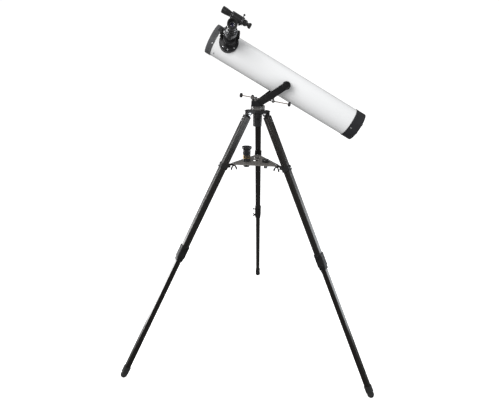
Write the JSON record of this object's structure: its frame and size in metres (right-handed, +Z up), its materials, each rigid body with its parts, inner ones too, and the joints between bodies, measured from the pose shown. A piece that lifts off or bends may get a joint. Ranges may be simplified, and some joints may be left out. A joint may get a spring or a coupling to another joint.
{
  "type": "newtonian reflector telescope",
  "caption": "Newtonian reflector telescope: white tube on an alt-azimuth fork with a slow-motion screw, extending tripod and accessory tray.",
  "frame": {"origin": "on the floor, straight under the azimuth axis", "axes": "+Z up; the tube points up towards -X; the focuser and eyepiece face -Y; the rear leg stands at +Y"},
  "size_m": [1.3592, 1.182, 1.8749],
  "materials": {
    "hub_casting": "satin black paint on cast metal",
    "bright_steel": "plated steel",
    "black_plastic": "fine-textured black plastic",
    "knob_plastic": "moulded black plastic",
    "tray_metal": "satin warm-grey paint on pressed sheet",
    "anodised_black": "black anodised",
    "chrome": "polished plating",
    "head_metal": "dark grey satin paint",
    "fork_paint": "black powder paint",
    "tube_paint": "white gloss enamel",
    "cell_plastic": "black plastic with a soft sheen",
    "mirror_coating": "aluminised glass",
    "focuser_plastic": "black plastic with a fine texture",
    "soft_rubber": "soft black rubber",
    "lens_glass": "coated glass",
    "leg_anodised": "black anodised, satin",
    "lower_leg_anodised": "black anodised, satin",
    "foot_rubber": "matte black rubber"
  },
  "bodies": {
    "tripod": {"tripod_hub": "hub_casting", "leg_pivot_bolts": "bright_steel", "leg_top_brackets": "black_plastic", "knee_stop_knobs": "knob_plastic", "tray_collars": "black_plastic", "tray_screws": "knob_plastic", "accessory_tray": "tray_metal", "upper_leg_left": "leg_anodised", "upper_leg_right": "leg_anodised", "upper_leg_rear": "leg_anodised", "knee_clamp_left": "black_plastic", "knee_clamp_right": "black_plastic", "knee_clamp_rear": "black_plastic"},
    "lower_leg_left": {"lower_leg_left": "lower_leg_anodised", "rubber_foot_left": "foot_rubber"},
    "knee_screw_left": {"knee_screw_left": "knob_plastic"},
    "lower_leg_right": {"lower_leg_right": "lower_leg_anodised", "rubber_foot_right": "foot_rubber"},
    "knee_screw_right": {"knee_screw_right": "knob_plastic"},
    "lower_leg_rear": {"lower_leg_rear": "lower_leg_anodised", "rubber_foot_rear": "foot_rubber"},
    "knee_screw_rear": {"knee_screw_rear": "knob_plastic"},
    "azimuth_lock": {"azimuth_lock_screw": "knob_plastic"},
    "azimuth_head": {"azimuth_head": "head_metal", "spindle_nut": "bright_steel"},
    "fork": {"fork": "fork_paint", "slow_motion_post": "head_metal", "bearing_thumb_nut": "knob_plastic", "slow_motion_bearing": "chrome"},
    "slow_motion_screw": {"slow_motion_screw": "chrome", "slow_motion_knobs": "knob_plastic"},
    "slow_motion_nut": {"slow_motion_nut": "chrome"},
    "tube": {"main_tube": "tube_paint", "front_ring": "cell_plastic", "rear_cell": "cell_plastic", "mirror_cell": "anodised_black", "primary_mirror": "mirror_coating", "mirror_clips": "black_plastic", "collimation_screws": "knob_plastic", "ring_screws": "bright_steel", "spider": "anodised_black", "secondary_holder": "anodised_black", "secondary_mirror": "mirror_coating", "trunnions": "fork_paint", "focuser_base": "focuser_plastic", "finder_bracket": "focuser_plastic", "finder_tube": "anodised_black", "finder_lenses": "lens_glass", "finder_screws": "knob_plastic"},
    "altitude_knob_near": {"altitude_knob_near": "knob_plastic"},
    "altitude_knob_far": {"altitude_knob_far": "knob_plastic"},
    "drawtube": {"drawtube": "anodised_black", "eyepiece_setscrews": "knob_plastic"},
    "focus_pinion": {"focus_shaft": "bright_steel", "focus_knobs": "knob_plastic"},
    "eyepiece": {"eyepiece": "anodised_black", "eyecup": "soft_rubber"},
    "barlow": {"barlow_lens": "anodised_black"},
    "spare_eyepiece": {"spare_eyepiece": "anodised_black", "spare_barrel": "chrome"}
  },
  "joints": [
    {"name": "leg_extension_left", "type": "slide", "parent": "tripod", "child": "lower_leg_left", "axis": [0.3986, 0.2301, 0.8878], "range_m": [0, 0.62]},
    {"name": "knee_screw_turn_left", "type": "hinge", "parent": "tripod", "child": "knee_screw_left", "pos_m": [-0.3731, -0.21541, 0.65957], "axis": [0.5, -0.866, 0], "range_deg": [-180, 180]},
    {"name": "leg_extension_right", "type": "slide", "parent": "tripod", "child": "lower_leg_right", "axis": [-0.3986, 0.2301, 0.8878], "range_m": [0, 0.62]},
    {"name": "knee_screw_turn_right", "type": "hinge", "parent": "tripod", "child": "knee_screw_right", "pos_m": [0.3731, -0.21541, 0.65957], "axis": [-0.5, -0.866, 0], "range_deg": [-180, 180]},
    {"name": "leg_extension_rear", "type": "slide", "parent": "tripod", "child": "lower_leg_rear", "axis": [0, -0.4602, 0.8878], "range_m": [0, 0.62]},
    {"name": "knee_screw_turn_rear", "type": "hinge", "parent": "tripod", "child": "knee_screw_rear", "pos_m": [0, 0.43081, 0.65957], "axis": [-1, 0, 0], "range_deg": [-180, 180]},
    {"name": "azimuth_lock_turn", "type": "hinge", "parent": "tripod", "child": "azimuth_lock", "pos_m": [0, -0.025, 1.37], "axis": [0, -1, 0], "range_deg": [-180, 180]},
    {"name": "azimuth_turn", "type": "hinge", "parent": "tripod", "child": "azimuth_head", "pos_m": [0, 0, 1.42], "axis": [0, 0, 1], "continuous": true},
    {"name": "azimuth_fine", "type": "hinge", "parent": "azimuth_head", "child": "fork", "pos_m": [0, 0, 1.437], "axis": [0, 0, 1], "range_deg": [-6, 6]},
    {"name": "slow_motion_turn", "type": "hinge", "parent": "fork", "child": "slow_motion_screw", "pos_m": [-0.0841, -0.005, 1.4775], "axis": [0.9397, -0.327, -0.1005], "range_deg": [-983, 983]},
    {"name": "slow_motion_nut_travel", "type": "slide", "parent": "fork", "child": "slow_motion_nut", "axis": [0.9397, -0.327, -0.1005], "range_m": [-0.00361, 0.00361]},
    {"name": "altitude_tilt", "type": "hinge", "parent": "fork", "child": "tube", "pos_m": [0.136, 0, 1.538], "axis": [0, 1, 0], "range_deg": [-21, 36]},
    {"name": "altitude_knob_turn_near", "type": "hinge", "parent": "tube", "child": "altitude_knob_near", "pos_m": [0.136, -0.1, 1.538], "axis": [0, -1, 0], "range_deg": [-180, 180]},
    {"name": "altitude_knob_turn_far", "type": "hinge", "parent": "tube", "child": "altitude_knob_far", "pos_m": [0.136, 0.1, 1.538], "axis": [0, 1, 0], "range_deg": [-180, 180]},
    {"name": "focus_travel", "type": "slide", "parent": "tube", "child": "drawtube", "axis": [0.187, -0.9191, 0.3467], "range_m": [-0.028, 0.028]},
    {"name": "focus_turn", "type": "hinge", "parent": "tube", "child": "focus_pinion", "pos_m": [-0.13225, -0.0903, 1.75478], "axis": [0.9821, 0.1665, -0.0883], "range_deg": [-270, 270]},
    {"name": "eyepiece_pull", "type": "slide", "parent": "drawtube", "child": "eyepiece", "axis": [0.187, -0.9191, 0.3467], "range_m": [0, 0.03]},
    {"name": "barlow_lift", "type": "slide", "parent": "tripod", "child": "barlow", "axis": [0, 0, 1], "range_m": [0, 0.05]},
    {"name": "spare_eyepiece_lift", "type": "slide", "parent": "tripod", "child": "spare_eyepiece", "axis": [0, 0, 1], "range_m": [0, 0.05]}
  ],
  "couplings": [
    {"joint": "slow_motion_turn", "follows": "azimuth_fine", "ratio": 163.51},
    {"joint": "slow_motion_nut_travel", "follows": "azimuth_fine", "m_per_rad": -0.032528},
    {"joint": "focus_turn", "follows": "focus_travel", "rad_per_m": -166.67}
  ]
}
